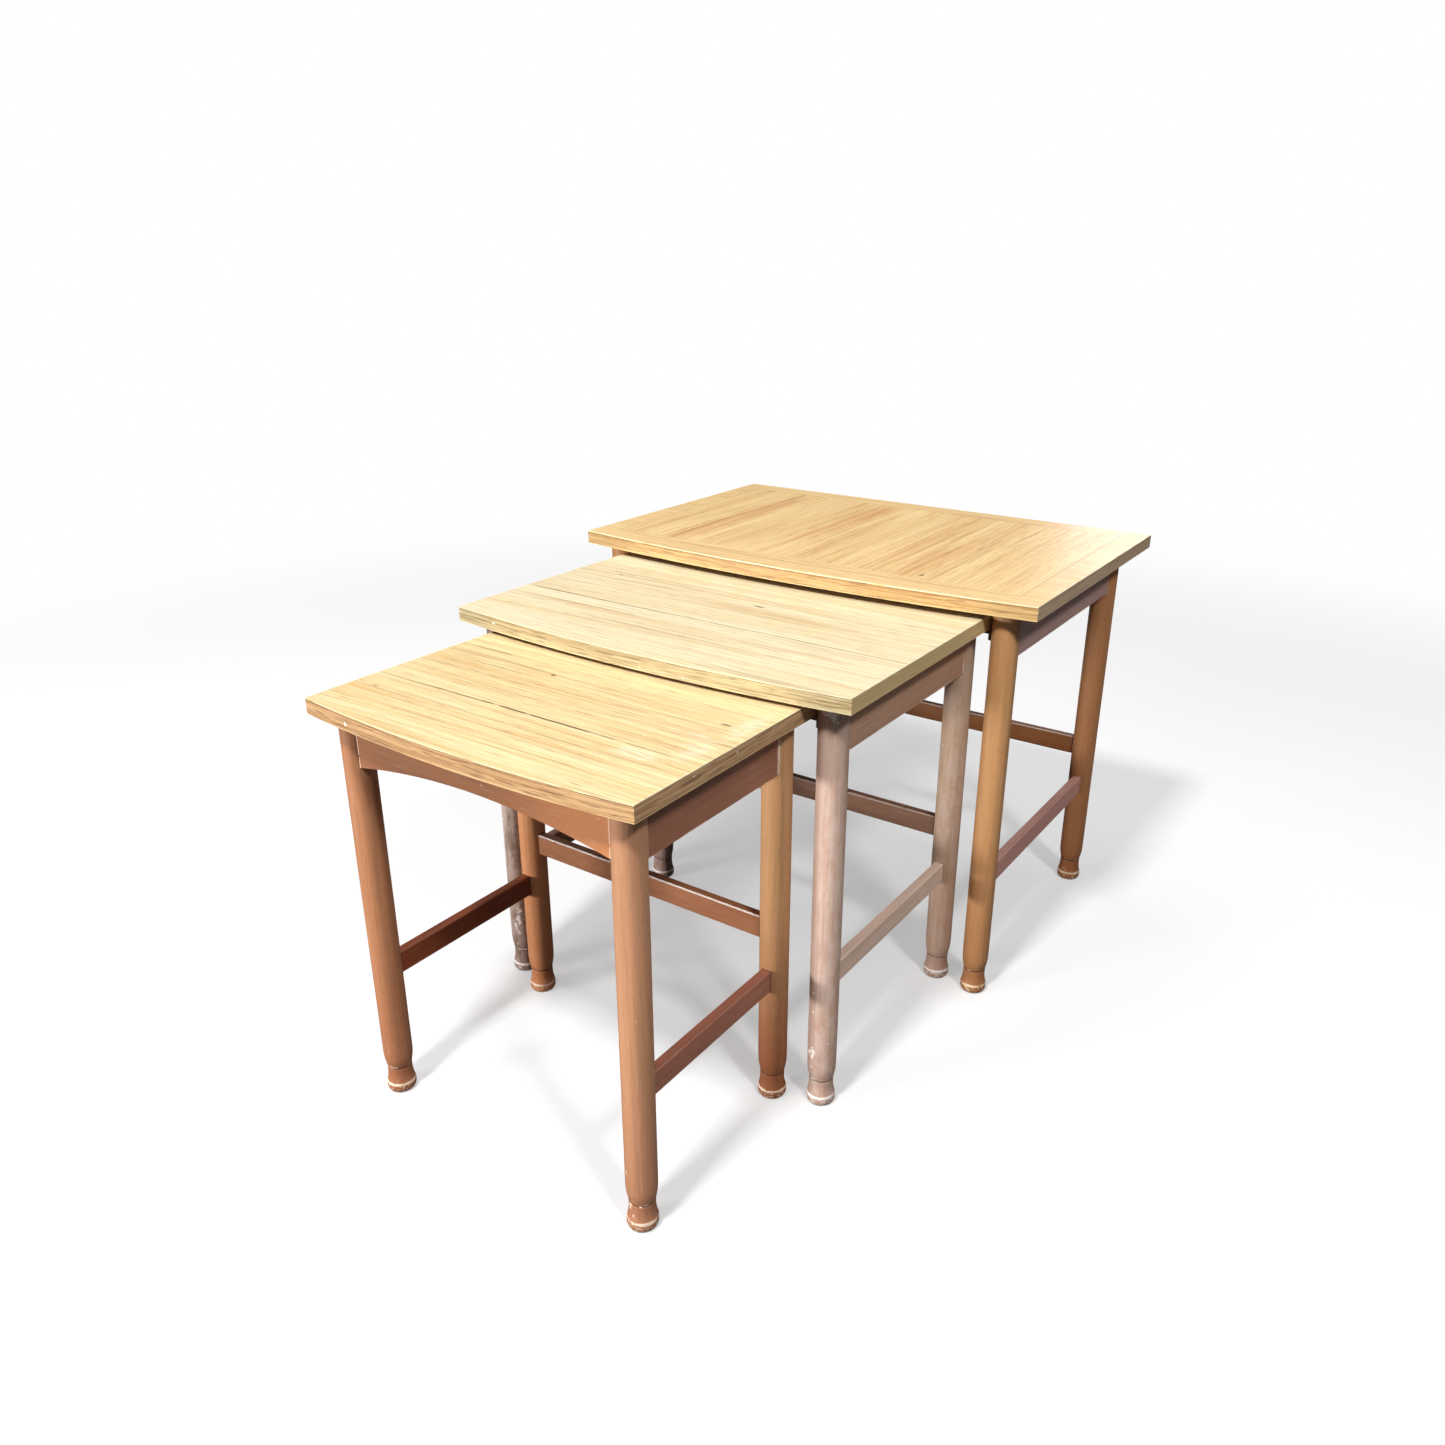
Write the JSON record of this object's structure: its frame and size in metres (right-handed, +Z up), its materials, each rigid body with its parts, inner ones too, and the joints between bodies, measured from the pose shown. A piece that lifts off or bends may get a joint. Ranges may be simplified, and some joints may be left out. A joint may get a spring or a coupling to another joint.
{
  "type": "nesting tables",
  "caption": "Nest of three free-standing rectangular tables with bowed fronts and round turned legs; each smaller table slides out from under the next.",
  "frame": {"origin": "on the floor, at the middle of the whole nest's footprint as drawn out", "axes": "+X to the right seen from the front, +Y to the back (the large table is at the back), +Z up"},
  "size_m": [0.606, 0.9174, 0.49],
  "materials": {
    "board_core": "raw pressed board",
    "dowel_wood": "raw",
    "screw_steel": "satin",
    "large_panel_laminate": "satin laminate with a wood grain running front to back",
    "large_border_laminate": "satin laminate with a wood grain",
    "medium_laminate": "satin laminate with a wood grain running side to side",
    "small_laminate": "satin laminate with a wood grain running side to side",
    "large_edge": "satin, worn",
    "medium_edge": "satin, worn",
    "small_edge": "satin, worn",
    "dark_rail_wood": "raw dark hardwood",
    "large_frame_wood": "satin lacquer, worn",
    "medium_frame_wood": "worn lacquer, greyed",
    "small_frame_wood": "satin lacquer, worn"
  },
  "bodies": {
    "large": {"large_top_board": "board_core", "large_edge_band": "large_edge", "large_top_panel": "large_panel_laminate", "large_top_border": "large_border_laminate", "large_leg_front_left": "large_frame_wood", "large_leg_front_right": "large_frame_wood", "large_leg_back_left": "large_frame_wood", "large_leg_back_right": "large_frame_wood", "large_apron_left": "large_frame_wood", "large_apron_right": "large_frame_wood", "large_apron_back": "large_frame_wood", "large_stretcher_left": "large_frame_wood", "large_stretcher_right": "large_frame_wood", "large_stretcher_back": "large_frame_wood", "large_rail_left": "dark_rail_wood", "large_rail_right": "dark_rail_wood", "large_rail_screws": "screw_steel", "large_dowels": "dowel_wood", "large_top_screws": "screw_steel"},
    "medium": {"medium_top_board": "board_core", "medium_top_face": "medium_laminate", "medium_edge_band": "medium_edge", "medium_leg_front_left": "medium_frame_wood", "medium_leg_front_right": "medium_frame_wood", "medium_leg_back_left": "medium_frame_wood", "medium_leg_back_right": "medium_frame_wood", "medium_apron_left": "medium_frame_wood", "medium_apron_right": "medium_frame_wood", "medium_apron_back": "medium_frame_wood", "medium_stretcher_left": "medium_frame_wood", "medium_stretcher_right": "medium_frame_wood", "medium_stretcher_back": "medium_frame_wood", "medium_rail_left": "dark_rail_wood", "medium_rail_right": "dark_rail_wood", "medium_rail_screws": "screw_steel", "medium_dowels": "dowel_wood", "medium_top_screws": "screw_steel"},
    "small": {"small_top_board": "board_core", "small_top_face": "small_laminate", "small_edge_band": "small_edge", "small_leg_front_left": "small_frame_wood", "small_leg_front_right": "small_frame_wood", "small_leg_back_left": "small_frame_wood", "small_leg_back_right": "small_frame_wood", "small_apron_left": "small_frame_wood", "small_apron_right": "small_frame_wood", "small_apron_back": "small_frame_wood", "small_apron_front": "small_frame_wood", "small_stretcher_left": "small_frame_wood", "small_stretcher_right": "small_frame_wood", "small_stretcher_back": "small_frame_wood", "small_dowels": "dowel_wood", "small_top_screws": "screw_steel"}
  },
  "joints": [
    {"name": "medium_slide", "type": "slide", "parent": "large", "child": "medium", "axis": [0, 1, 0], "range_m": [-0.12, 0.29]},
    {"name": "small_slide", "type": "slide", "parent": "medium", "child": "small", "axis": [0, 1, 0], "range_m": [-0.1, 0.263]}
  ]
}
